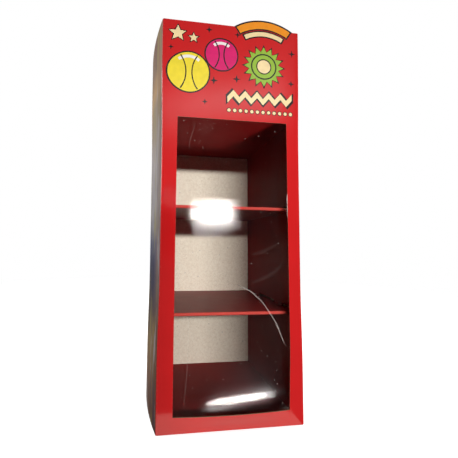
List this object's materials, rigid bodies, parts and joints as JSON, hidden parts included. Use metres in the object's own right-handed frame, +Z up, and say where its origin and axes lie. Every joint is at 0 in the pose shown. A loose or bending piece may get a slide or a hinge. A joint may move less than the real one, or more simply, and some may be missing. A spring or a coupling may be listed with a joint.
{
  "type": "display stand",
  "caption": "Tall cardboard counter display with bowed sides, a clear film window, folded shelves inside, a printed header and an arched crest.",
  "frame": {"origin": "middle of the underside, where the stand rests", "axes": "+Z up, the window faces -Y, +X to the right of someone who faces the window"},
  "size_m": [0.28, 0.264, 0.7229],
  "materials": {
    "printed_board": "red offset print under a silk laminate on fine corrugated board",
    "clear_film": "clear polyester film",
    "liner_board": "red printed board",
    "shelf_board": "red printed board, folded",
    "bare_board": "unprinted grey-brown board"
  },
  "bodies": {
    "root": {"outer_wrap": "printed_board", "window_film": "clear_film", "inner_liner": "liner_board", "upper_shelf": "shelf_board", "lower_shelf": "shelf_board", "back_panel": "bare_board", "top_panel": "printed_board", "base_pad": "bare_board"}
  },
  "joints": []
}
